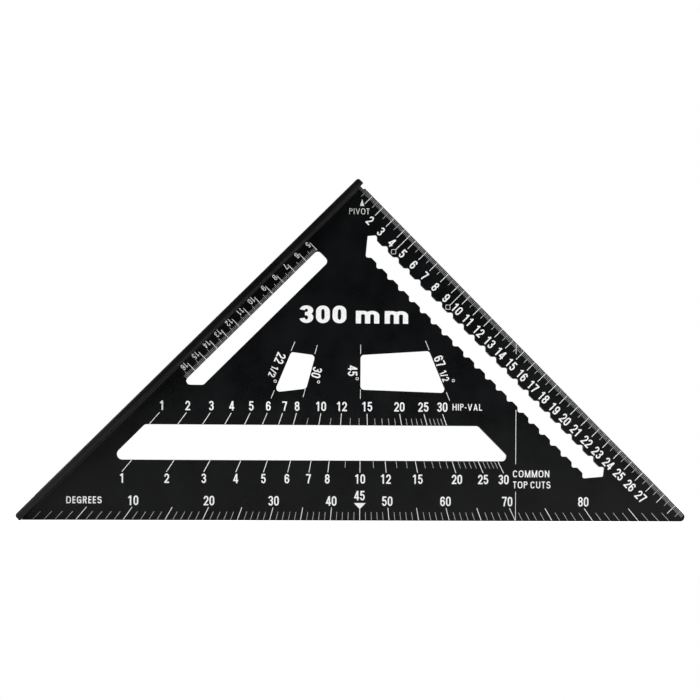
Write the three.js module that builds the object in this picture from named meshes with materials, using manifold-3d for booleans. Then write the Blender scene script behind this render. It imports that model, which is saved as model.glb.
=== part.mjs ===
// Rafter square of the 12-inch class: a flat triangular blade seated in a T-shaped fence.
//
// Millimetres, +Z up, front face towards -Y. The hypotenuse edge is the level bottom edge.
// The origin is the pivot corner: on the fence's inner face, level with the ruler edge and
// half-way through the blade.
//
// Both pieces are drawn in the square's own plane and turned upright together at the end:
//   u runs along the ruler edge, away from the fence
//   v runs along the fence, away from the ruler edge
//   w runs through the blade, from its front face to its back face

import * as THREE from "three";
import { mergeVertices } from "three/addons/utils/BufferGeometryUtils.js";
import Module from "manifold-3d";

// ---------------------------------------------------------------- driving dimensions

const LEG = 304.8; // pivot corner to either sharp corner of the triangle, 12 inches
const BLADE_THICKNESS = 4;
const BLADE_TIP_RADIUS = 3;
const BLADE_HEEL_TRIM = 0.9; // blunts the sharp corner beside the fence

const FENCE_WIDTH = 25; // lip edge to lip edge, through the blade
const FENCE_THICKNESS = 4.8;
const FENCE_OVERRUN = 0.4; // the fence reaches this far past both ends of its leg
const FENCE_LIP_RADIUS = 0.9; // long edges of the two lips
const FENCE_END_OUTER_RADIUS = 1.8;
const FENCE_END_INNER_RADIUS = 0.3;

const TONGUE_DEPTH = 2.4; // how far the blade reaches into the fence's groove
const GROOVE_CLEARANCE = 0.05;
const ROOT_FILLET_RADIUS = 1;
const ROOT_FILLET_FEATHER = 0.15; // thickness left at the fillet's thin end

const PIVOT_NOTCH_LENGTH = 3.1;
const PIVOT_NOTCH_DEPTH = 1.1;
const PIVOT_NOTCH_RADIUS = 1;

const SCRIBE_PITCH = 10; // one scribing notch per centimetre on each side of the slot
const SCRIBE_UPPER_FIRST = 30;
const SCRIBE_UPPER_LAST = 240;
const SCRIBE_UPPER_EDGE = 17.9; // v of the slot's long edge nearest the ruler edge
const SCRIBE_LOWER_EDGE = 28.4;
const SCRIBE_NOTCH_DEPTH = 2.6; // to the sharp apex of a notch with 45 degree flanks
const SCRIBE_NOTCH_RADIUS = 1.4;
const SCRIBE_SHOULDER_RADIUS = 0.8;
const SCRIBE_POINT_REACH = 4; // the pointed ends lie this far past the last notches
const SCRIBE_POINT_V = 20.2;

const SLOT_CORNER_RADIUS = 2.8;
const FENCE_SLOT_U = 10;
const FENCE_SLOT_WIDTH = 10.2;
const FENCE_SLOT_TOP = 49.3;
const FENCE_SLOT_DIAGONAL = 182.7; // u + v along the end cut parallel to the hypotenuse
const FENCE_SLOT_POINT_RADIUS = 2.5; // in its one acute corner

const BIG_SLOT_U = 12;
const BIG_SLOT_V = 55.4;
const BIG_SLOT_UPPER = 154.6; // distances below the pivot
const BIG_SLOT_LOWER = 177.2;
const BIG_SLOT_POINT_RADIUS = 3.5; // in the acute corner beside the fence

// Layout windows. Each side lies on a ray from the pivot, given as degrees from the fence,
// and runs from one depth below the pivot to another.
const WINDOW_CORNER_RADIUS = 2.3;
const WINDOW_EASE = 0.5; // the right-hand sides stand off their rays
const WINDOWS = [
  { left: 22.5, leftTop: 107.7, leftBottom: 133.7, right: 30, rightTop: 109.6, rightBottom: 131 },
  { left: 45, leftTop: 109.4, leftBottom: 131.6, right: 67.5, rightTop: 106.6, rightBottom: 133.6 },
];

const ARC_ERROR = 0.02; // largest distance between an arc and its chords
const CUT_MARGIN = 2; // how far cutting and trimming bodies stand past what they cut

// ---------------------------------------------------------------- outlines

const degrees = THREE.MathUtils.degToRad;

function arcSteps(radius, turn) {
  const step = 2 * Math.acos(1 - ARC_ERROR / radius);
  return Math.max(2, Math.ceil(turn / step));
}

// Points of a closed outline. Each corner is [a, b] or, when rounded, [a, b, radius].
function roundedOutline(corners) {
  return corners.flatMap(([a, b, radius], index) => {
    const corner = new THREE.Vector2(a, b);
    if (!radius) return [corner];
    const previous = new THREE.Vector2(...corners.at(index - 1));
    const next = new THREE.Vector2(...corners[(index + 1) % corners.length]);
    const back = previous.sub(corner).normalize();
    const ahead = next.sub(corner).normalize();
    const halfAngle = Math.acos(back.dot(ahead)) / 2;
    const turn = Math.PI - 2 * halfAngle;
    const direction = -Math.sign(back.cross(ahead));
    const inward = back.clone().add(ahead).normalize();
    const centre = corner.clone().addScaledVector(inward, radius / Math.sin(halfAngle));
    const start = corner.clone().addScaledVector(back, radius / Math.tan(halfAngle));
    const steps = arcSteps(radius, turn);
    return Array.from({ length: steps + 1 }, (_, k) =>
      start.clone().rotateAround(centre, (direction * turn * k) / steps),
    );
  });
}

// Where the ray from the pivot at an angle from the fence reaches a depth below the pivot.
// The point is moved square to the ray, away from the fence, by offset.
function rayPoint(angleFromFence, depth, offset = 0) {
  const angle = degrees(angleFromFence);
  const reach = (depth * Math.SQRT2) / (Math.sin(angle) + Math.cos(angle));
  const u = reach * Math.sin(angle) + offset * Math.cos(angle);
  const v = reach * Math.cos(angle) - offset * Math.sin(angle);
  return [u, v];
}

// ---------------------------------------------------------------- blade

function bladeOutline() {
  const heel = LEG - BLADE_HEEL_TRIM;
  return roundedOutline([
    [-TONGUE_DEPTH, PIVOT_NOTCH_DEPTH],
    [PIVOT_NOTCH_LENGTH, PIVOT_NOTCH_DEPTH, PIVOT_NOTCH_RADIUS],
    [PIVOT_NOTCH_LENGTH, 0],
    [LEG, 0, BLADE_TIP_RADIUS],
    [BLADE_HEEL_TRIM, heel],
    [-TONGUE_DEPTH, heel],
  ]);
}

// A long slot with notches every centimetre on both edges, staggered by half a centimetre.
function scribingSlotOutline() {
  const halfPitch = SCRIBE_PITCH / 2;
  const lowerFirst = SCRIBE_UPPER_FIRST + halfPitch;
  const lowerLast = SCRIBE_UPPER_LAST - halfPitch;
  const upperApex = SCRIBE_UPPER_EDGE - SCRIBE_NOTCH_DEPTH;
  const lowerApex = SCRIBE_LOWER_EDGE + SCRIBE_NOTCH_DEPTH;
  const corners = [];
  corners.push([SCRIBE_UPPER_FIRST - SCRIBE_POINT_REACH, SCRIBE_POINT_V, SCRIBE_SHOULDER_RADIUS]);
  for (let u = SCRIBE_UPPER_FIRST; u <= SCRIBE_UPPER_LAST; u += SCRIBE_PITCH) {
    if (u > SCRIBE_UPPER_FIRST) {
      corners.push([u - SCRIBE_NOTCH_DEPTH, SCRIBE_UPPER_EDGE, SCRIBE_SHOULDER_RADIUS]);
    }
    corners.push([u, upperApex, SCRIBE_NOTCH_RADIUS]);
    if (u < SCRIBE_UPPER_LAST) {
      corners.push([u + SCRIBE_NOTCH_DEPTH, SCRIBE_UPPER_EDGE, SCRIBE_SHOULDER_RADIUS]);
    }
  }
  corners.push([SCRIBE_UPPER_LAST + SCRIBE_POINT_REACH, SCRIBE_POINT_V, SCRIBE_SHOULDER_RADIUS]);
  for (let u = lowerLast; u >= lowerFirst; u -= SCRIBE_PITCH) {
    if (u < lowerLast) {
      corners.push([u + SCRIBE_NOTCH_DEPTH, SCRIBE_LOWER_EDGE, SCRIBE_SHOULDER_RADIUS]);
    }
    corners.push([u, lowerApex, SCRIBE_NOTCH_RADIUS]);
    if (u > lowerFirst) {
      corners.push([u - SCRIBE_NOTCH_DEPTH, SCRIBE_LOWER_EDGE, SCRIBE_SHOULDER_RADIUS]);
    }
  }
  return roundedOutline(corners);
}

function fenceSlotOutline() {
  const farSide = FENCE_SLOT_U + FENCE_SLOT_WIDTH;
  return roundedOutline([
    [FENCE_SLOT_U, FENCE_SLOT_TOP, SLOT_CORNER_RADIUS],
    [farSide, FENCE_SLOT_TOP, SLOT_CORNER_RADIUS],
    [farSide, FENCE_SLOT_DIAGONAL - farSide, SLOT_CORNER_RADIUS],
    [FENCE_SLOT_U, FENCE_SLOT_DIAGONAL - FENCE_SLOT_U, FENCE_SLOT_POINT_RADIUS],
  ]);
}

// Two level edges between a side parallel to the fence and a side parallel to the ruler edge.
function bigSlotOutline() {
  const upperSum = BIG_SLOT_UPPER * Math.SQRT2;
  const lowerSum = BIG_SLOT_LOWER * Math.SQRT2;
  return roundedOutline([
    [BIG_SLOT_U, upperSum - BIG_SLOT_U, SLOT_CORNER_RADIUS],
    [upperSum - BIG_SLOT_V, BIG_SLOT_V, SLOT_CORNER_RADIUS],
    [lowerSum - BIG_SLOT_V, BIG_SLOT_V, SLOT_CORNER_RADIUS],
    [BIG_SLOT_U, lowerSum - BIG_SLOT_U, BIG_SLOT_POINT_RADIUS],
  ]);
}

function windowOutline(layout) {
  return roundedOutline([
    [...rayPoint(layout.left, layout.leftTop), WINDOW_CORNER_RADIUS],
    [...rayPoint(layout.right, layout.rightTop, WINDOW_EASE), WINDOW_CORNER_RADIUS],
    [...rayPoint(layout.right, layout.rightBottom, WINDOW_EASE), WINDOW_CORNER_RADIUS],
    [...rayPoint(layout.left, layout.leftBottom), WINDOW_CORNER_RADIUS],
  ]);
}

function bladeGeometry() {
  const shape = new THREE.Shape(bladeOutline());
  const openings = [
    scribingSlotOutline(),
    fenceSlotOutline(),
    bigSlotOutline(),
    ...WINDOWS.map(windowOutline),
  ];
  shape.holes = openings.map((outline) => new THREE.Path(outline));
  const plate = new THREE.ExtrudeGeometry(shape, {
    depth: BLADE_THICKNESS,
    bevelEnabled: false,
  });
  return plate.translate(0, 0, -BLADE_THICKNESS / 2);
}

// ---------------------------------------------------------------- fence

const manifoldLibrary = await Module();
manifoldLibrary.setup();

function toSolid(geometry) {
  const bare = geometry.clone();
  bare.deleteAttribute("normal");
  bare.deleteAttribute("uv");
  const merged = mergeVertices(bare);
  const mesh = new manifoldLibrary.Mesh({
    numProp: 3,
    vertProperties: merged.attributes.position.array,
    triVerts: new Uint32Array(merged.index.array),
  });
  return new manifoldLibrary.Manifold(mesh);
}

function toGeometry(solid) {
  const mesh = solid.getMesh();
  const geometry = new THREE.BufferGeometry();
  geometry.setAttribute("position", new THREE.BufferAttribute(mesh.vertProperties, 3));
  geometry.setIndex(new THREE.BufferAttribute(mesh.triVerts, 1));
  geometry.computeVertexNormals();
  return geometry;
}

// A section in (u, w), run along the fence from one v to another.
function alongFence(section, from, to) {
  const bar = new THREE.ExtrudeGeometry(new THREE.Shape(section), {
    depth: to - from,
    bevelEnabled: false,
  });
  // The quarter turn takes the section's second axis to w and the extrusion to -v.
  return bar.rotateX(Math.PI / 2).translate(0, to, 0);
}

// The bar: both lips and the web between them, with softened long edges and rounded ends.
function fenceBar() {
  const halfWidth = FENCE_WIDTH / 2;
  const start = -FENCE_OVERRUN;
  const end = LEG + FENCE_OVERRUN;
  const section = roundedOutline([
    [-FENCE_THICKNESS, -halfWidth, FENCE_LIP_RADIUS],
    [0, -halfWidth, FENCE_LIP_RADIUS],
    [0, halfWidth, FENCE_LIP_RADIUS],
    [-FENCE_THICKNESS, halfWidth, FENCE_LIP_RADIUS],
  ]);
  const plan = roundedOutline([
    [-FENCE_THICKNESS, start, FENCE_END_OUTER_RADIUS],
    [0, start, FENCE_END_INNER_RADIUS],
    [0, end, FENCE_END_INNER_RADIUS],
    [-FENCE_THICKNESS, end, FENCE_END_OUTER_RADIUS],
  ]);
  const trim = new THREE.ExtrudeGeometry(new THREE.Shape(plan), {
    depth: FENCE_WIDTH + 2 * CUT_MARGIN,
    bevelEnabled: false,
  }).translate(0, 0, -halfWidth - CUT_MARGIN);
  const bar = alongFence(section, start - CUT_MARGIN, end + CUT_MARGIN);
  return toSolid(bar).intersect(toSolid(trim));
}

// A concave fillet in the corner between the fence's inner face and one face of the blade.
function rootFillet(side) {
  const seat = BLADE_THICKNESS / 2 + GROOVE_CLEARANCE;
  const reach = ROOT_FILLET_RADIUS;
  const centreW = seat + ROOT_FILLET_FEATHER + reach;
  const steps = arcSteps(reach, Math.PI / 2);
  const hollow = Array.from({ length: steps + 1 }, (_, k) => {
    const angle = (k / steps) * (Math.PI / 2);
    return new THREE.Vector2(reach - reach * Math.sin(angle), centreW - reach * Math.cos(angle));
  });
  const section = [
    new THREE.Vector2(-reach, seat),
    new THREE.Vector2(reach, seat),
    ...hollow,
    new THREE.Vector2(-reach, centreW),
  ];
  section.forEach((point) => point.set(point.x, side * point.y));
  return toSolid(alongFence(section, PIVOT_NOTCH_DEPTH, LEG - BLADE_HEEL_TRIM));
}

// The pocket that takes the blade's tongue. It stops short of both ends of the fence.
function tongueGroove() {
  const length = LEG - BLADE_HEEL_TRIM - PIVOT_NOTCH_DEPTH;
  const depth = TONGUE_DEPTH + GROOVE_CLEARANCE;
  const reach = depth + ROOT_FILLET_RADIUS + CUT_MARGIN;
  const groove = new THREE.BoxGeometry(
    reach,
    length + 2 * GROOVE_CLEARANCE,
    BLADE_THICKNESS + 2 * GROOVE_CLEARANCE,
  );
  return toSolid(groove.translate(reach / 2 - depth, PIVOT_NOTCH_DEPTH + length / 2, 0));
}

function fenceGeometry() {
  const filleted = fenceBar().add(rootFillet(1)).add(rootFillet(-1));
  return toGeometry(filleted.subtract(tongueGroove()));
}

// ---------------------------------------------------------------- assembly

function namedMesh(name, geometry, finish) {
  const mesh = new THREE.Mesh(geometry, new THREE.MeshStandardMaterial(finish));
  mesh.name = name;
  return mesh;
}

const square = new THREE.Group();
square.add(
  namedMesh("blade", bladeGeometry(), { color: 0x141516, roughness: 0.5, metalness: 0.35 }),
  namedMesh("fence", fenceGeometry(), { color: 0x191a1b, roughness: 0.45, metalness: 0.35 }),
);

// Stand the square up: u falls away to the right, v to the left, and w points backwards.
const alongRuler = new THREE.Vector3(1, 0, -1).normalize();
const alongTheFence = new THREE.Vector3(-1, 0, -1).normalize();
const throughBlade = new THREE.Vector3(0, 1, 0);
const upright = new THREE.Matrix4().makeBasis(alongRuler, alongTheFence, throughBlade);
square.quaternion.setFromRotationMatrix(upright);

export default square;
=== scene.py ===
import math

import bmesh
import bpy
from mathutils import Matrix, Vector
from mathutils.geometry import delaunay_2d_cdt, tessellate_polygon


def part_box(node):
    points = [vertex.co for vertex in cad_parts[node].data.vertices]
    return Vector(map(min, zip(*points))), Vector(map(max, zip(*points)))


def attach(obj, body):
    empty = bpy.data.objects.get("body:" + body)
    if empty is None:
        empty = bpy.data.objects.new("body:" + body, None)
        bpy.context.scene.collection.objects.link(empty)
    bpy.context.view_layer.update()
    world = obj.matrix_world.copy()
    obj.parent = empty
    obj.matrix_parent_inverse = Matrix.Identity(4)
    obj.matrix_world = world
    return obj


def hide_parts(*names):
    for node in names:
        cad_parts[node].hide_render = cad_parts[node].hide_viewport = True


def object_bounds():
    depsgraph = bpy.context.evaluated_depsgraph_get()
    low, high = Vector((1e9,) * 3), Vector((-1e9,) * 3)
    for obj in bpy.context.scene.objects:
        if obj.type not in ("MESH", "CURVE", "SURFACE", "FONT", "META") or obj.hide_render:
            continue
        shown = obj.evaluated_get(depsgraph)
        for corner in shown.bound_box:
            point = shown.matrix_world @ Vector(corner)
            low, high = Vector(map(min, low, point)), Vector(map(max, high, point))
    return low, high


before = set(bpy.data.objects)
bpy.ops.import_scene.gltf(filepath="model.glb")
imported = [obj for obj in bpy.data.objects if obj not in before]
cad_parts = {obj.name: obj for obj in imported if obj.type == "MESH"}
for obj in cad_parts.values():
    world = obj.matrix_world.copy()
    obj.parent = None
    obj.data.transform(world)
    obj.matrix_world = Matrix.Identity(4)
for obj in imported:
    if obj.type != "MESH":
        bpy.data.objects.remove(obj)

# Rafter square: a black coated blade in a T-shaped fence, with its scales printed on the front.
#
# The frame is in metres, +Z up, the front face towards -Y, and the origin at the pivot corner.
# Lengths below are millimetres. A place on the front face is either (x, z), or (p, q):
#   p runs along the ruler edge, away from the fence
#   q runs along the fence, away from the ruler edge

CAD_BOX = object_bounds()
MM = 0.001
BODY = "root"

BLADE_LOW, BLADE_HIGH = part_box("blade")
FRONT = BLADE_LOW.y / MM
BACK = BLADE_HIGH.y / MM
LEVEL_EDGE = -BLADE_LOW.z / MM  # depth of the hypotenuse edge below the pivot
FLOOR = CAD_BOX[0].z

EDGE_ROUND = 0.15  # radius of the blade's softened edges
EDGE_STEPS = 3
MERGE = 0.001
SMOOTH_BELOW = 35  # degrees between faces that shade as one surface

PROUD = 0.04  # how far a printed mark stands off the face
SUNK = 0.01  # and how far it reaches in
SET_BACK = 0.25  # marks stop this far short of an edge


# ---------------------------------------------------------------- places on the front face

DIAGONAL = math.sqrt(0.5)


def on_plate(p, q):
    return (p - q) * DIAGONAL, -(p + q) * DIAGONAL


def on_ray(rise, slope, depth):
    """Where a ray is at a depth below the pivot corner. Slope is sideways travel per depth.

    The rays of one scale meet a little above the corner, by rise.
    """
    return slope * (depth + rise), -depth


def degree_slope(angle_from_fence):
    return math.tan(math.radians(angle_from_fence - 45))


def rafter_slope(rise, run):
    return (rise - run) / (rise + run)


DEGREE_RISE = 0.3
RAFTER_RISE = 0.95  # also for the layout windows

ACROSS = (1, 0)
UPWARD = (0, 1)
ALONG_P = on_plate(1, 0)
ALONG_Q = on_plate(0, 1)
AGAINST_Q = on_plate(0, -1)


# ---------------------------------------------------------------- pieces

def add_piece(name, mesh, material):
    piece = bpy.data.objects.new(name, mesh)
    bpy.context.scene.collection.objects.link(piece)
    mesh.materials.append(material)
    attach(piece, BODY)
    return piece


def closed_mesh(name, points, faces):
    """A mesh in metres from points in millimetres, with its faces turned outwards."""
    mesh = bpy.data.meshes.new(name)
    mesh.from_pydata([[c * MM for c in point] for point in points], [], faces)
    shape = bmesh.new()
    shape.from_mesh(mesh)
    bmesh.ops.recalc_face_normals(shape, faces=shape.faces)
    shape.to_mesh(mesh)
    shape.free()
    return mesh


# ---------------------------------------------------------------- blade

def face_loops(node, level):
    """The outlines of a flat CAD face, as lists of (x, z), each with the material on one side."""
    mesh = node.data
    points = [(round(v.co.x / MM, 3), round(v.co.z / MM, 3)) for v in mesh.vertices]
    on_level = [abs(v.co.y / MM - level) < MERGE for v in mesh.vertices]
    flat = [f.vertices for f in mesh.polygons if all(on_level[i] for i in f.vertices)]
    edges = set()
    for corners in flat:
        ring = [points[i] for i in corners]
        edges.update(zip(ring, ring[1:] + ring[:1]))
    follow = {a: b for a, b in edges if (b, a) not in edges}
    loops = []
    while follow:
        start = min(follow)
        loop = [start]
        while follow[loop[-1]] != start:
            loop.append(follow[loop[-1]])
        for point in loop:
            del follow[point]
        loops.append([Vector(point) for point in loop])
    return loops


def inset(loop, distance):
    """The loop moved into the material, with mitred corners."""
    moved = []
    for before, here, after in zip(loop[-1:] + loop[:-1], loop, loop[1:] + loop[:1]):
        sides = [(here - before).normalized(), (after - here).normalized()]
        first, second = [Vector((-side.y, side.x)) for side in sides]
        mitre = (first + second) / (1 + first.dot(second))
        moved.append(here + mitre * distance)
    return moved


def blade_mesh():
    """The CAD plate again, with softened edges round its outline and every opening."""
    outlines = face_loops(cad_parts["blade"], FRONT)
    profile = []
    for step in range(EDGE_STEPS + 1):
        turn = math.radians(90 * step / EDGE_STEPS)
        profile.append((EDGE_ROUND * (1 - math.sin(turn)), EDGE_ROUND * (1 - math.cos(turn))))
    rings = [(move, FRONT + depth) for move, depth in profile]
    rings += [(move, BACK - depth) for move, depth in reversed(profile)]

    points, faces, front_cap, back_cap = [], [], [], []
    for loop in outlines:
        count, start = len(loop), len(points)
        for move, level in rings:
            points += [(spot.x, level, spot.y) for spot in inset(loop, move)]
        for ring in range(len(rings) - 1):
            for i in range(count):
                a = start + ring * count + i
                b = start + ring * count + (i + 1) % count
                faces.append((a, b, b + count, a + count))
        front_cap.append(range(start, start + count))
        back_cap.append(range(start + (len(rings) - 1) * count, len(points)))
    for cap in (front_cap, back_cap):
        order = [i for loop in cap for i in loop]
        triangles = tessellate_polygon([[Vector(points[i]) for i in loop] for loop in cap])
        faces += [tuple(order[i] for i in triangle) for triangle in triangles]

    mesh = closed_mesh("blade_plate", points, faces)
    mesh.set_sharp_from_angle(angle=math.radians(SMOOTH_BELOW))
    curved = [abs(face.normal.y) < 0.999 for face in mesh.polygons]
    mesh.polygons.foreach_set("use_smooth", curved)
    return mesh


# ---------------------------------------------------------------- fence

FENCE_END_ROUND = 0.5
FENCE_END_STEPS = 3
FENCE_END_REACH = 1.2  # the end faces' rims lie within this distance of the two ends
FENCE_FLAT_WIDTH = 2  # faces wider than this shade flat


def fence_mesh():
    """The CAD bar again, with the rims of its two end faces rounded over."""
    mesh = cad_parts["fence"].data.copy()
    mesh.name = "fence_bar"
    mesh.materials.clear()
    along = Vector((ALONG_Q[0], 0, ALONG_Q[1]))
    shape = bmesh.new()
    shape.from_mesh(mesh)
    bmesh.ops.remove_doubles(shape, verts=shape.verts, dist=MERGE * MM)
    bmesh.ops.dissolve_limit(
        shape, angle_limit=math.radians(0.5), verts=shape.verts, edges=shape.edges
    )
    places = [vert.co.dot(along) for vert in shape.verts]
    low, high = min(places), max(places)
    rims = []
    for edge in shape.edges:
        spot = (edge.verts[0].co + edge.verts[1].co).dot(along) / 2
        near_end = min(spot - low, high - spot) < FENCE_END_REACH * MM
        if near_end and edge.calc_face_angle(0) > math.radians(SMOOTH_BELOW):
            rims.append(edge)
    bmesh.ops.bevel(
        shape, geom=rims, offset=FENCE_END_ROUND * MM, offset_type="OFFSET",
        segments=FENCE_END_STEPS, profile=0.5, affect="EDGES", clamp_overlap=True,
    )
    for face in shape.faces:
        longest = max(edge.calc_length() for edge in face.edges)
        face.smooth = face.calc_area() / longest < FENCE_FLAT_WIDTH * MM
    shape.to_mesh(mesh)
    shape.free()
    mesh.set_sharp_from_angle(angle=math.radians(SMOOTH_BELOW))
    return mesh


# ---------------------------------------------------------------- letter shapes
#
# A glyph is a few pen strokes in a cell one unit high, filled in to one flat shape.
# A shape is (points, triangles, rim), where rim holds the edges that bound it.

ARC_STEP = 15  # degrees
DIGIT_WIDTH = 0.505
DIGIT_GAP = 0.1
LETTER_GAP = 0.2
SPACE = 0.25
ROUND_END = 0.25  # height of the curved ends of tall bowls
WAIST = 0.53
LETTER_WIDTHS = {
    "A": 0.66, "C": 0.62, "D": 0.65, "E": 0.42, "G": 0.62, "H": 0.64, "I": 0.14, "L": 0.48,
    "M": 0.78, "N": 0.64, "O": 0.69, "P": 0.55, "R": 0.55, "S": 0.61, "T": 0.5, "U": 0.62,
    "V": 0.7, "m": 0.86, "-": 0.24, "/": 0.36,
}


def arc(x, y, reach_x, reach_y, start, end):
    """Points along an ellipse, from one angle to another."""
    count = max(2, math.ceil(abs(end - start) / ARC_STEP))
    turns = [math.radians(start + (end - start) * k / count) for k in range(count + 1)]
    return [(x + reach_x * math.cos(turn), y + reach_y * math.sin(turn)) for turn in turns]


def tall_oval(x, reach, low, top):
    upper = arc(x, top - ROUND_END, reach, ROUND_END, 180, 0)
    lower = arc(x, low + ROUND_END, reach, ROUND_END, 0, -180)
    return upper + lower + upper[:1]


def digit_strokes(digit, pen):
    left = low = pen / 2
    right = DIGIT_WIDTH - pen / 2
    top = 1 - pen / 2
    middle = DIGIT_WIDTH / 2
    reach = middle - left
    upper, upper_reach = (WAIST + top) / 2, (top - WAIST) / 2
    lower, lower_reach = (WAIST + low) / 2, (WAIST - low) / 2
    if digit == "0":
        return [tall_oval(middle, reach, low, top)]
    if digit == "1":
        stem = 0.372 - pen / 2
        return [[(stem, 0), (stem, 1)], arc(0.055, 1, stem - 0.075, 0.21, -90, 0)]
    if digit == "2":
        bowl = arc(middle, top - ROUND_END, reach, ROUND_END, 180, -32)
        return [bowl + [(left + 0.03, low + 0.05)], [(0, low), (DIGIT_WIDTH, low)]]
    if digit == "3":
        return [
            arc(middle, upper, reach * 0.96, upper_reach, 170, -90) + [(0.2, WAIST)],
            [(0.2, WAIST)] + arc(middle, lower, reach, lower_reach, 90, -170),
        ]
    if digit == "4":
        stem = 0.36
        bar = 0.28
        return [
            [(stem, 0), (stem, 1)],
            [(stem - 0.02, 0.97), (0.06, bar)],
            [(-0.01, bar), (0.525, bar)],
        ]
    if digit == "5":
        bowl = arc(middle, 0.34, reach, 0.34 - low, 140, -170)
        return [[(right + 0.03, top), (left + 0.05, top), (left + 0.02, 0.5)], bowl]
    if digit == "6":
        bowl = arc(middle, 0.325, reach, 0.325 - low, 180, 540)
        return [arc(middle, top - ROUND_END, reach, ROUND_END, 10, 180) + [(left, 0.3)], bowl]
    if digit == "7":
        leg = [(right + 0.02, top), (0.33, 0.52), (0.26, 0.26), (0.23, 0)]
        return [[(0, top), (DIGIT_WIDTH, top)], leg]
    if digit == "8":
        return [
            arc(middle, upper, reach * 0.94, upper_reach, 0, 360),
            arc(middle, lower, reach, lower_reach, 0, 360),
        ]
    turned = digit_strokes("6", pen)
    return [[(DIGIT_WIDTH - x, 1 - y) for x, y in stroke] for stroke in turned]


def letter_strokes(letter, pen):
    width = LETTER_WIDTHS[letter]
    left = low = pen / 2
    right = width - pen / 2
    top = 1 - pen / 2
    middle = width / 2
    reach = middle - left
    upper, upper_reach = (WAIST + top) / 2, (top - WAIST) / 2
    lower, lower_reach = (WAIST + low) / 2, (WAIST - low) / 2
    stem = [(left, 0), (left, 1)]
    far_stem = [(right, 0), (right, 1)]
    if letter == "A":
        return [[(left, 0), (middle, 1)], [(right, 0), (middle, 1)], [(left, 0.28), (right, 0.28)]]
    if letter in "CG":
        open_side = arc(middle, top - ROUND_END, reach, ROUND_END, 15, 180)
        open_side += arc(middle, low + ROUND_END, reach, ROUND_END, 180, 345)
        hook = [(middle, 0.47), (right, 0.47), (right, 0)]
        return [open_side, hook] if letter == "G" else [open_side]
    if letter == "D":
        bowl = [(left, top)] + arc(middle, top - ROUND_END, reach, ROUND_END, 90, 0)
        bowl += arc(middle, low + ROUND_END, reach, ROUND_END, 0, -90) + [(left, low)]
        return [stem, bowl]
    if letter == "E":
        return [stem] + [[(left, y), (width, y)] for y in (low, WAIST - 0.02, top)]
    if letter == "H":
        return [stem, far_stem, [(left, WAIST), (right, WAIST)]]
    if letter == "I":
        return [[(middle, 0), (middle, 1)]]
    if letter == "L":
        return [stem, [(left, low), (width, low)]]
    if letter == "M":
        return [stem, far_stem, [(left, 1), (middle, 0)], [(right, 1), (middle, 0)]]
    if letter == "N":
        return [stem, far_stem, [(left, 0.98), (right, 0.02)]]
    if letter == "O":
        return [tall_oval(middle, reach, low, top)]
    if letter in "PR":
        bowl = [(left, top)] + arc(middle, upper, reach, upper_reach, 90, -90) + [(left, WAIST)]
        leg = [(middle, WAIST), (right + 0.01, 0)]
        return [stem, bowl, leg] if letter == "R" else [stem, bowl]
    if letter == "S":
        head = arc(middle, upper, reach * 0.95, upper_reach, 15, 270)
        return [head, arc(middle, lower, reach, lower_reach, 90, -165)]
    if letter == "T":
        return [[(middle, 0), (middle, 1)], [(0, top), (width, top)]]
    if letter == "U":
        base = arc(middle, low + ROUND_END, reach, ROUND_END, 180, 360)
        return [[(left, 1)] + base + [(right, 1)]]
    if letter == "V":
        return [[(left, 1), (middle, 0)], [(right, 1), (middle, 0)]]
    if letter == "m":
        short, arch = 0.72, (middle - left) / 2
        shoulder = short - left - arch
        feet = [left, middle, right]
        arches = [arc(x + arch, shoulder, arch, arch, 180, 0) + [(x + 2 * arch, 0)] for x in feet[:2]]
        return [[(left, 0), (left, short)]] + arches
    if letter == "-":
        return [[(0, 0.42), (width, 0.42)]]
    return [[(0.02, 0), (width - 0.02, 1)]]  # the fraction bar


def stroke_quads(stroke, pen):
    """The four-sided pieces of one pen stroke, mitred where they meet."""
    closed = (Vector(stroke[0]) - Vector(stroke[-1])).length < 1e-6
    spots = [Vector(spot) for spot in stroke]
    directions = [(b - a).normalized() for a, b in zip(spots, spots[1:])]
    sides = [Vector((-d.y, d.x)) * pen / 2 for d in directions]
    offsets = []
    for i in range(len(spots)):
        before = sides[i - 1] if i or closed else sides[0]
        after = sides[i] if i < len(sides) else (sides[0] if closed else sides[-1])
        mitre = (before + after) / (1 + before.dot(after) / (pen / 2) ** 2)
        offsets.append(mitre)
    quads = []
    for i in range(len(directions)):
        a, b = spots[i], spots[i + 1]
        quads.append([a - offsets[i], b - offsets[i + 1], b + offsets[i + 1], a + offsets[i]])
    return quads


def filled(polygons):
    """One flat shape from polygons that may overlap."""
    corners = [corner for polygon in polygons for corner in polygon]
    faces, start = [], 0
    for polygon in polygons:
        faces.append(list(range(start, start + len(polygon))))
        start += len(polygon)
    points, _, pieces, _, _, sources = delaunay_2d_cdt(corners, [], faces, 0, MERGE)
    triangles = [tuple(piece) for piece, source in zip(pieces, sources) if source]
    return points, triangles, rim_of(triangles)


def rim_of(triangles):
    edges = set()
    for a, b, c in triangles:
        edges.update([(a, b), (b, c), (c, a)])
    return [(a, b) for a, b in edges if (b, a) not in edges]


GLYPHS = {}


def glyph(letter, pen):
    if (letter, pen) not in GLYPHS:
        strokes = digit_strokes(letter, pen) if letter.isdigit() else letter_strokes(letter, pen)
        quads = [quad for stroke in strokes for quad in stroke_quads(stroke, pen)]
        GLYPHS[letter, pen] = filled(quads)
    return GLYPHS[letter, pen]


# ---------------------------------------------------------------- printed marks

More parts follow.
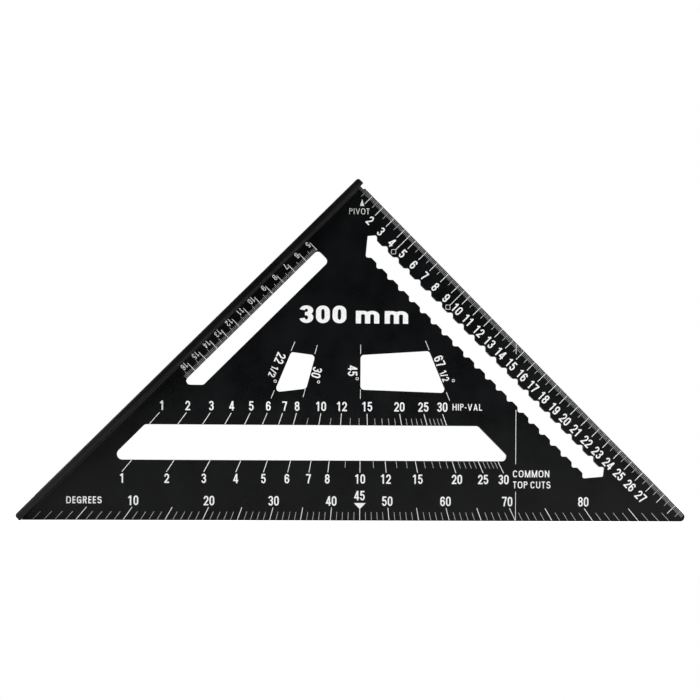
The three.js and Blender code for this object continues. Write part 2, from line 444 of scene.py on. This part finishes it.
class Marks:
    """Thin closed plates on the front face, gathered into one piece."""

    def __init__(self):
        self.points = []
        self.faces = []

    def add(self, shape, place):
        flat_points, triangles, rim = shape
        start, count = len(self.points), len(flat_points)
        spots = [place(*point) for point in flat_points]
        for level in (FRONT - PROUD, FRONT + SUNK):
            self.points += [(x, level, z) for x, z in spots]
        for triangle in triangles:
            self.faces.append([start + i for i in triangle])
            self.faces.append([start + count + i for i in reversed(triangle)])
        for a, b in rim:
            self.faces.append([start + b, start + a, start + count + a, start + count + b])

    def polygon(self, corners):
        order = range(len(corners))
        triangles = [(0, i, i + 1) for i in order[1:-1]]
        self.add((corners, triangles, rim_of(triangles)), lambda x, z: (x, z))

    def line(self, start, end, width):
        a, b = Vector(start), Vector(end)
        side = (b - a).normalized().orthogonal() * width / 2
        self.polygon([a - side, b - side, b + side, a + side])

    def text(self, words, height, pen, spot, right, up, align=0.5, width=None):
        """Words on a baseline through spot. Align is the share of the width left of spot."""
        reach, cells = 0, []
        for letter in words:
            if letter == " ":
                reach += SPACE
                continue
            cells.append((letter, reach))
            if letter.isdigit():
                reach += DIGIT_WIDTH + DIGIT_GAP
            else:
                reach += LETTER_WIDTHS[letter] + LETTER_GAP
        reach -= DIGIT_GAP if words[-1].isdigit() else LETTER_GAP
        stretch = width / (reach * height) if width else 1
        for letter, offset in cells:

            def place(a, b, offset=offset):
                along = (a + offset - align * reach) * stretch * height
                return tuple(spot[k] + right[k] * along + up[k] * b * height for k in (0, 1))

            self.add(glyph(letter, pen), place)

    def piece(self, name, material, slot):
        return add_piece(name, closed_mesh(name, self.points, self.faces), material)


# ---------------------------------------------------------------- materials

GRAIN_DEPTH = 0.008  # millimetres
COAT_REFLECTION = 0.27
PRINT_REFLECTION = 0.3


def node(tree, kind, inputs=None, **settings):
    made = tree.nodes.new(kind)
    for name, value in settings.items():
        setattr(made, name, value)
    for name, value in (inputs or {}).items():
        if isinstance(value, bpy.types.NodeSocket):
            tree.links.new(value, made.inputs[name])
        else:
            made.inputs[name].default_value = value
    return made


def noise(tree, spots, feature, detail=3, roughness=0.6):
    """Noise with features of about a size in millimetres."""
    made = node(
        tree, "ShaderNodeTexNoise",
        {"Vector": spots, "Scale": 1 / (feature * MM), "Detail": detail, "Roughness": roughness},
    )
    return made.outputs["Fac"]


def spread(tree, value, low, high, to_low, to_high):
    made = node(
        tree, "ShaderNodeMapRange",
        {"Value": value, "From Min": low, "From Max": high, "To Min": to_low, "To Max": to_high},
    )
    return made.outputs["Result"]


def blend_colours(tree, share, first, second):
    made = node(tree, "ShaderNodeMix", data_type="RGBA")
    for socket, value in zip([made.inputs[6], made.inputs[7]], (first, second)):
        if isinstance(value, bpy.types.NodeSocket):
            tree.links.new(value, socket)
        else:
            socket.default_value = (*value, 1)
    tree.links.new(share, made.inputs[0])
    return made.outputs[2]


def calculate(tree, operation, first, second):
    return node(tree, "ShaderNodeMath", {0: first, 1: second}, operation=operation).outputs[0]


def edge_share(tree, radius):
    """1 on a sharp outside or inside edge, falling to 0 away from it."""
    rounded = node(tree, "ShaderNodeBevel", {"Radius": radius * MM}, samples=4)
    flat = node(tree, "ShaderNodeNewGeometry")
    facing = node(
        tree, "ShaderNodeVectorMath",
        {0: rounded.outputs["Normal"], 1: flat.outputs["Normal"]}, operation="DOT_PRODUCT",
    )
    return spread(tree, facing.outputs["Value"], 0.99, 0.85, 0, 1)


def finish_material(tree, colour, roughness, height, reflection):
    bump = node(tree, "ShaderNodeBump", {"Height": height, "Distance": GRAIN_DEPTH * MM})
    surface = node(
        tree, "ShaderNodeBsdfPrincipled",
        {
            "Base Color": colour,
            "Roughness": roughness,
            "Specular IOR Level": reflection,
            "Normal": bump.outputs["Normal"],
        },
    )
    output = node(tree, "ShaderNodeOutputMaterial")
    tree.links.new(surface.outputs[0], output.inputs["Surface"])


def new_tree(name):
    material = bpy.data.materials.new(name)
    material.use_nodes = True
    material.node_tree.nodes.clear()
    spots = node(material.node_tree, "ShaderNodeTexCoord").outputs["Object"]
    return material, material.node_tree, spots


def black_coat(name, deep, pale, edge_wear_highlight_colour, rough_low, rough_high):
    """Satin powder coat: a fine grain, slow cloudiness, and a thin band along the edges painted
    lighter, partly a rubbed coat and partly a painted edge highlight.
    """
    material, tree, spots = new_tree(name)
    grain = noise(tree, spots, 0.35, detail=4)
    pores = noise(tree, spots, 1.1, detail=2, roughness=0.7)
    clouds = noise(tree, spots, 28, detail=4)
    colour = blend_colours(tree, spread(tree, clouds, 0.35, 0.65, 0, 1), deep, pale)
    # Outside and inside edges are painted lighter: partly a worn coat, partly a painted edge
    # highlight.
    edge_wear_highlight_share = calculate(tree, "MULTIPLY", edge_share(tree, 0.35), spread(tree, pores, 0.4, 0.6, 0, 1))
    colour = blend_colours(tree, edge_wear_highlight_share, colour, edge_wear_highlight_colour)
    roughness = spread(
        tree, calculate(tree, "ADD", clouds, calculate(tree, "MULTIPLY", grain, 0.6)),
        0.55, 1.05, rough_low, rough_high,
    )
    height = calculate(tree, "ADD", grain, calculate(tree, "MULTIPLY", pores, 0.5))
    finish_material(tree, colour, roughness, height, COAT_REFLECTION)
    return material


def print_paint(name, thin, full):
    """Matte printing ink, slightly uneven in cover."""
    material, tree, spots = new_tree(name)
    cover = noise(tree, spots, 0.9, detail=4, roughness=0.65)
    grain = noise(tree, spots, 0.2)
    colour = blend_colours(tree, spread(tree, cover, 0.3, 0.62, 0, 1), thin, full)
    roughness = spread(tree, grain, 0.3, 0.7, 0.55, 0.75)
    finish_material(tree, colour, roughness, grain, PRINT_REFLECTION)
    return material


BLADE_COAT = black_coat(
    "blade_coat", (0.0011, 0.0014, 0.0018), (0.0021, 0.0025, 0.003), (0.011, 0.012, 0.013), 0.26, 0.36
)
FENCE_COAT = black_coat(
    "fence_coat", (0.0011, 0.0012, 0.0012), (0.0021, 0.0022, 0.0022), (0.013, 0.013, 0.013), 0.26, 0.36
)
WHITE = print_paint("white_print", (0.76, 0.76, 0.75), (0.9, 0.9, 0.89))
PALE_GREY = print_paint("pale_grey_print", (0.5, 0.5, 0.5), (0.64, 0.64, 0.64))
GREY = print_paint("grey_print", (0.3, 0.3, 0.3), (0.42, 0.42, 0.42))


# ---------------------------------------------------------------- scales

PEN = 0.145  # stroke width as a share of digit height
WORD_PEN = 0.14
DIGIT_HEIGHT = 6
SMALL_DIGIT_HEIGHT = 4.6
FINE_LINE = 0.26
THIN_LINE = 0.245
FULL_LINE = 0.41
RULER_LINE = 0.4
LONG_LINE = 0.34
MARKER_LINES = (45, 95)


def ruler_scale():
    """Millimetres along the ruler edge, numbered in centimetres."""
    last_tick, last_number = 298, 27
    notch_length, notch_depth = 3.1, 1.1
    first_length, full_length, middle_length, fine_length = 7, 7.6, 5.5, 3
    number_top = 9.13
    fine, middle, full, numbers = Marks(), Marks(), Marks(), Marks()
    for p in range(1, last_tick + 1):
        start = SET_BACK + (notch_depth if p < notch_length + SET_BACK else 0)
        if p % 10 == 0:
            length = first_length if p == 10 else full_length
            full.line(on_plate(p, start), on_plate(p, length), RULER_LINE)
        elif p % 5 == 0 and p not in MARKER_LINES:
            middle.line(on_plate(p, start), on_plate(p, middle_length), THIN_LINE)
        elif p not in MARKER_LINES:
            fine.line(on_plate(p, start), on_plate(p, fine_length), FINE_LINE)
    for number in range(2, last_number + 1):
        baseline = on_plate(number * 10, number_top + DIGIT_HEIGHT)
        numbers.text(str(number), DIGIT_HEIGHT, PEN, baseline, ALONG_P, AGAINST_Q)
    fine.piece("ruler_millimetre_ticks", GREY, "grey_marking")
    middle.piece("ruler_half_centimetre_ticks", PALE_GREY, "white_marking")
    full.piece("ruler_centimetre_ticks", WHITE, "white_marking")
    numbers.piece("ruler_numbers", WHITE, "white_marking")


def ruler_markers():
    """Long lines that end in a small rounded square, set level with the hypotenuse edge."""
    centre_q, half_side, corner, pen = 15.45, 1.4, 0.3, 0.27
    line_end = centre_q - half_side * 1.35  # just inside the square's corner
    marks = Marks()
    straight = half_side - corner
    outline = []
    for quarter, (x, z) in enumerate([(1, 1), (-1, 1), (-1, -1), (1, -1)]):
        outline += arc(x * straight, z * straight, corner, corner, quarter * 90, quarter * 90 + 90)
    ring = filled(stroke_quads(outline + outline[:1], pen))
    for p in MARKER_LINES:
        x, z = on_plate(p, centre_q)
        marks.add(ring, lambda a, b: (x + a, z + b))
        marks.line(on_plate(p, SET_BACK), on_plate(p, line_end), FULL_LINE)
    marks.piece("ruler_marker_lines", WHITE, "white_marking")


def fence_scale():
    """Millimetres along the slot beside the fence, numbered in centimetres."""
    slot_side, first, last = 10 - SET_BACK, 50, 167
    full_start, half_start, fine_start = 3.1, 5.9, 7.3
    full_line, half_line, fine_line = 0.52, 0.42, 0.29
    height, baseline, start, pair_width = 3.95, 1.25, 0.8, 4.15
    fine, full, numbers = Marks(), Marks(), Marks()
    for q in range(first, last + 1):
        if q % 10 == 0:
            full.line(on_plate(full_start, q), on_plate(slot_side, q), full_line)
        elif q % 5 == 0:
            fine.line(on_plate(half_start, q), on_plate(slot_side, q), half_line)
        else:
            fine.line(on_plate(fine_start, q), on_plate(slot_side, q), fine_line)
    for number in range(first // 10, last // 10 + 1):
        spot = on_plate(baseline, number * 10 + start)
        width = pair_width if number > 9 else None
        numbers.text(str(number), height, PEN, spot, ALONG_Q, ALONG_P, align=0, width=width)
    fine.piece("fence_scale_millimetre_ticks", GREY, "grey_marking")
    full.piece("fence_scale_centimetre_ticks", WHITE, "white_marking")
    numbers.piece("fence_scale_numbers", WHITE, "white_marking")


# Some numbers are printed a little to one side of their rays, by these millimetres.
DEGREE_NUMBER_SHIFTS = {10: -0.3, 20: -0.3, 40: -0.3, 50: -0.4, 70: -1, 80: 0.3}


def degree_scale():
    """Degrees from the fence, on rays to the hypotenuse edge."""
    edge, minor_top, major_top, number_base = LEVEL_EDGE - SET_BACK, 210.1, 207.3, 206.1
    number_height, word_height = 6.1, 4.45
    minor, major, numbers, arrow, word = Marks(), Marks(), Marks(), Marks(), Marks()

    def ray(angle, depth):
        return on_ray(DEGREE_RISE, degree_slope(angle), depth)

    for angle in range(1, 89):
        if angle % 5:
            minor.line(ray(angle, minor_top), ray(angle, edge), THIN_LINE)
        elif angle != 45:
            major.line(ray(angle, major_top), ray(angle, edge), FULL_LINE)
    for angle in range(10, 81, 10):
        x = ray(angle, number_base)[0] + DEGREE_NUMBER_SHIFTS.get(angle, 0)
        numbers.text(str(angle), number_height, PEN, (x, -number_base), ACROSS, UPWARD)
    numbers.text("45", number_height, PEN, (-0.2, -202.6), ACROSS, UPWARD)
    arrow.polygon([(-3.8, -204.3), (0, -208.2), (3.8, -204.3)])
    arrow.line((0, -207.9), (0, -edge), FULL_LINE)
    word.text("DEGREES", word_height, 0.155, (-175.85, -205.05), ACROSS, UPWARD, width=22.45)
    minor.piece("degree_ticks", PALE_GREY, "white_marking")
    major.piece("degree_five_ticks", WHITE, "white_marking")
    numbers.piece("degree_numbers", WHITE, "white_marking")
    arrow.piece("degree_centre_arrow", WHITE, "white_marking")
    word.piece("degree_word", WHITE, "white_marking")


RAFTER_NUMBERS = (1, 2, 3, 4, 5, 6, 7, 8, 10, 12, 15, 20, 25, 30)
# Numbers printed to one side of their rays, as on the degree scale.
COMMON_NUMBER_SHIFTS = {2: 0.3, 6: -0.4, 7: -0.3, 8: -0.35, 12: -0.3, 20: 0.7}
HIP_NUMBER_SHIFTS = {1: 0.2, 2: -0.3, 3: -0.25, 4: -0.55, 6: 0.2, 7: 0.85, 10: -0.25, 30: 0.25}


def rafter_scale(name, run, edge, outwards, number_base, centring_depth, shifts):
    """Rises per ten of run, on rays to a level edge of the big slot.

    Depths are below the pivot. Each number is centred where its ray is at centring_depth.
    """
    last_rise, major_length, minor_length = 30, 7.6, 4.6
    minor, major, numbers = Marks(), Marks(), Marks()
    start = edge + outwards * SET_BACK
    for rise in range(1, last_rise + 1):
        slope = rafter_slope(rise, run)
        if rise in RAFTER_NUMBERS:
            far = edge + outwards * major_length
            major.line(on_ray(RAFTER_RISE, slope, start), on_ray(RAFTER_RISE, slope, far), FULL_LINE)
            x = on_ray(RAFTER_RISE, slope, centring_depth)[0] + shifts.get(rise, 0)
            numbers.text(str(rise), DIGIT_HEIGHT, PEN, (x, -number_base), ACROSS, UPWARD)
        else:
            far = edge + outwards * minor_length
            minor.line(on_ray(RAFTER_RISE, slope, start), on_ray(RAFTER_RISE, slope, far), THIN_LINE)
    minor.piece(name + "_minor_ticks", PALE_GREY, "white_marking")
    major.piece(name + "_ticks", WHITE, "white_marking")
    numbers.piece(name + "_numbers", WHITE, "white_marking")


def rafter_scales():
    common_run = 10
    hip_run = common_run * math.sqrt(2)
    rafter_scale("common_scale", common_run, 177.2, 1, 191.9, 184.8, COMMON_NUMBER_SHIFTS)
    rafter_scale("hip_valley_scale", hip_run, 154.6, -1, 145.5, 145.6, HIP_NUMBER_SHIFTS)
    words = Marks()
    words.text("COMMON", 4.45, WORD_PEN, (98.95, -187.4), ACROSS, UPWARD, align=0, width=23.65)
    words.text("TOP CUTS", 4.45, WORD_PEN, (99, -194.5), ACROSS, UPWARD, align=0, width=24.4)
    words.text("HIP-VAL", 4.25, WORD_PEN, (59.55, -144.6), ACROSS, UPWARD, align=0, width=19.15)
    words.piece("rafter_scale_words", WHITE, "white_marking")


def top_cut_line():
    """A line square to the hypotenuse edge, broken by the scribing slot and the two words."""
    x = 100.7
    ruler_edge, above_slot, below_slot = x + 0.4, 107.9, 143.9  # depths below the pivot
    above_words, below_words, bottom = 179, 196.6, LEVEL_EDGE - SET_BACK
    stretches = ((ruler_edge, above_slot), (below_slot, above_words), (below_words, bottom))
    line = Marks()
    for high, low in stretches:
        line.line((x, -high), (x, -low), LONG_LINE)
    line.piece("top_cut_line", WHITE, "white_marking")


# Each window label: degrees from the fence; depths below the pivot where its two guides start
# and end; how far its baseline is from its ray; and its parts, centred along the ray.
WINDOW_LABELS = (
    (22.5, (101.1, 107.0, 132.4, 137.5), -8, ("22", 123.15), ("1", 130.1), ("/", 132.4), ("2", 134.9)),
    (30, (103.2, 109.0, 131.4, 136.7), 1, ("30", 124.05)),
    (45, (102.7, 108.9, 131.5, 137.4), -8.1, ("45", 119.55)),
    (67.5, (100.0, 105.9, 132.9, 138.4), 0.9, ("67", 123.9), ("1", 131.4), ("/", 133.4), ("2", 136.2)),
)
DEGREE_RINGS = ((22.5, 137.9, -2.2), (30, 129.5, 6.8), (45, 124.6, -2.1), (67.5, 138.8, 7.4))


def window_labels():
    """Angles beside the layout windows, with short guides where each angle's ray meets them."""
    ring_radius, ring_pen = 0.8, 0.36
    guides, labels = Marks(), Marks()

    def beside_ray(angle, along, offset):
        lean = math.radians(angle - 45)
        right = (math.sin(lean), -math.cos(lean))
        up = (math.cos(lean), math.sin(lean))
        spot = tuple(right[k] * along + up[k] * offset for k in (0, 1))
        return spot, right, up

    for angle, ends, baseline, *parts in WINDOW_LABELS:
        spots = [on_ray(RAFTER_RISE, degree_slope(angle), depth) for depth in ends]
        guides.line(spots[0], spots[1], LONG_LINE)
        guides.line(spots[2], spots[3], LONG_LINE)
        for index, (words, along) in enumerate(parts):
            height = SMALL_DIGIT_HEIGHT if index else DIGIT_HEIGHT
            labels.text(words, height, PEN, *beside_ray(angle, along, baseline))
    ring = filled(stroke_quads(arc(0, 0, ring_radius, ring_radius, 0, 360), ring_pen))
    for angle, along, offset in DEGREE_RINGS:
        x, z = beside_ray(angle, along, offset)[0]
        labels.add(ring, lambda a, b: (x + a, z + b))
    guides.piece("window_guides", WHITE, "white_marking")
    labels.piece("window_angles", WHITE, "white_marking")


def pivot_mark():
    marks = Marks()
    marks.polygon([(-1.1, -13.5), (1.7, -13.5), (0.35, -9)])
    marks.text("PIVOT", 3.8, 0.1, (-1.4, -18.85), ACROSS, UPWARD, width=13)
    marks.piece("pivot_mark", WHITE, "white_marking")


def size_mark():
    """The nominal size, in the middle of the blade."""
    mark = Marks()
    mark.text("300 mm", 11.3, 0.19, (-4.5, -89.1), ACROSS, UPWARD, width=70)
    mark.piece("size_mark", WHITE, "white_marking")


# ---------------------------------------------------------------- stage, light and camera

FLOOR_REACH = 0.55  # metres from the middle of the sheet to its rim
FLOOR_GLOW = 0.5  # lifts the sheet to white for the camera only


def pale_floor():
    """A round white sheet. The camera sees it against an equally white surround."""
    material, tree, spots = new_tree("floor")
    cloud = noise(tree, spots, 120, detail=2)
    colour = blend_colours(tree, cloud, (0.88, 0.88, 0.88), (0.92, 0.92, 0.92))
    sheet = node(tree, "ShaderNodeBsdfDiffuse", {"Color": colour, "Roughness": 1})
    glow = node(tree, "ShaderNodeEmission", {"Color": (1, 1, 1, 1), "Strength": FLOOR_GLOW})
    both = node(tree, "ShaderNodeAddShader", {0: sheet.outputs[0], 1: glow.outputs[0]})
    path = node(tree, "ShaderNodeLightPath").outputs["Is Camera Ray"]
    seen = node(tree, "ShaderNodeMixShader", {0: path, 1: sheet.outputs[0], 2: both.outputs[0]})
    output = node(tree, "ShaderNodeOutputMaterial")
    tree.links.new(seen.outputs[0], output.inputs["Surface"])
    turns = [math.radians(angle) for angle in range(0, 360, 5)]
    rim = [(FLOOR_REACH * math.cos(turn), FLOOR_REACH * math.sin(turn), FLOOR) for turn in turns]
    mesh = bpy.data.meshes.new("floor")
    mesh.from_pydata(rim, [], [range(len(rim))])
    mesh.materials.append(material)
    floor = bpy.data.objects.new("floor", mesh)
    bpy.context.scene.collection.objects.link(floor)


def surroundings(seen, felt):
    """A white surround to the camera, and a dimmer one to the light that reaches the object."""
    world = bpy.data.worlds.new("studio")
    world.use_nodes = True
    tree = world.node_tree
    tree.nodes.clear()
    path = node(tree, "ShaderNodeLightPath").outputs["Is Camera Ray"]
    strength = spread(tree, path, 0, 1, felt, seen)
    light = node(tree, "ShaderNodeBackground", {"Color": (1, 1, 1, 1), "Strength": strength})
    output = node(tree, "ShaderNodeOutputWorld")
    tree.links.new(light.outputs[0], output.inputs["Surface"])
    bpy.context.scene.world = world


def softbox(name, place, aim, width, height, power):
    light = bpy.data.lights.new(name, "AREA")
    light.shape = "RECTANGLE"
    light.size = width
    light.size_y = height
    light.energy = power
    lamp = bpy.data.objects.new(name, light)
    lamp.location = place
    lamp.rotation_euler = (Vector(aim) - Vector(place)).to_track_quat("-Z", "Y").to_euler()
    bpy.context.scene.collection.objects.link(lamp)


def camera():
    """A long lens a little left of the blade's normal and a little above it."""
    distance, lens = 1.6, 128
    roll, above, left = 0.353, -1.532, 4.576  # degrees about Y, X and Z
    turn = Matrix.Rotation(math.radians(roll), 3, "Y")
    turn = turn @ Matrix.Rotation(math.radians(above), 3, "X")
    turn = turn @ Matrix.Rotation(math.radians(left), 3, "Z")
    shift = Vector((6.69, 0, -0.89)) * MM
    middle = Vector((0, 0, -107)) * MM
    back = turn.transposed()
    data = bpy.data.cameras.new("camera")
    data.lens = lens
    data.sensor_width = 36
    data.clip_start = 0.05
    data.clip_end = 50
    eye = bpy.data.objects.new("camera", data)
    place = middle + back @ (Vector((0, -distance, 0)) - shift)
    look = back @ Matrix.Rotation(math.radians(90), 3, "X")
    eye.matrix_world = Matrix.Translation(place) @ look.to_4x4()
    bpy.context.scene.collection.objects.link(eye)
    bpy.context.scene.camera = eye


# ---------------------------------------------------------------- assembly

blade = add_piece("blade_plate", blade_mesh(), BLADE_COAT)
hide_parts("blade")
fence = add_piece("fence_bar", fence_mesh(), FENCE_COAT)
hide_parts("fence")

ruler_scale()
ruler_markers()
fence_scale()
degree_scale()
rafter_scales()
top_cut_line()
window_labels()
pivot_mark()
size_mark()

pale_floor()
surroundings(seen=1.0, felt=0.0)
softbox("left_softbox", (-1.8, -1.5, 0.4), (0, 0, -0.1), 1.6, 1.6, 36)
softbox("right_softbox", (1.8, -1.5, 0.4), (0, 0, -0.1), 1.6, 1.6, 27)
softbox("top_softbox", (0, -0.5, 2.4), (0, -0.1, -0.2), 2.4, 1.2, 51)
softbox("back_softbox", (0, 1.6, 2.2), (0, 0, -0.1), 4.5, 3, 51)
camera()
bpy.context.scene.view_settings.view_transform = "Standard"
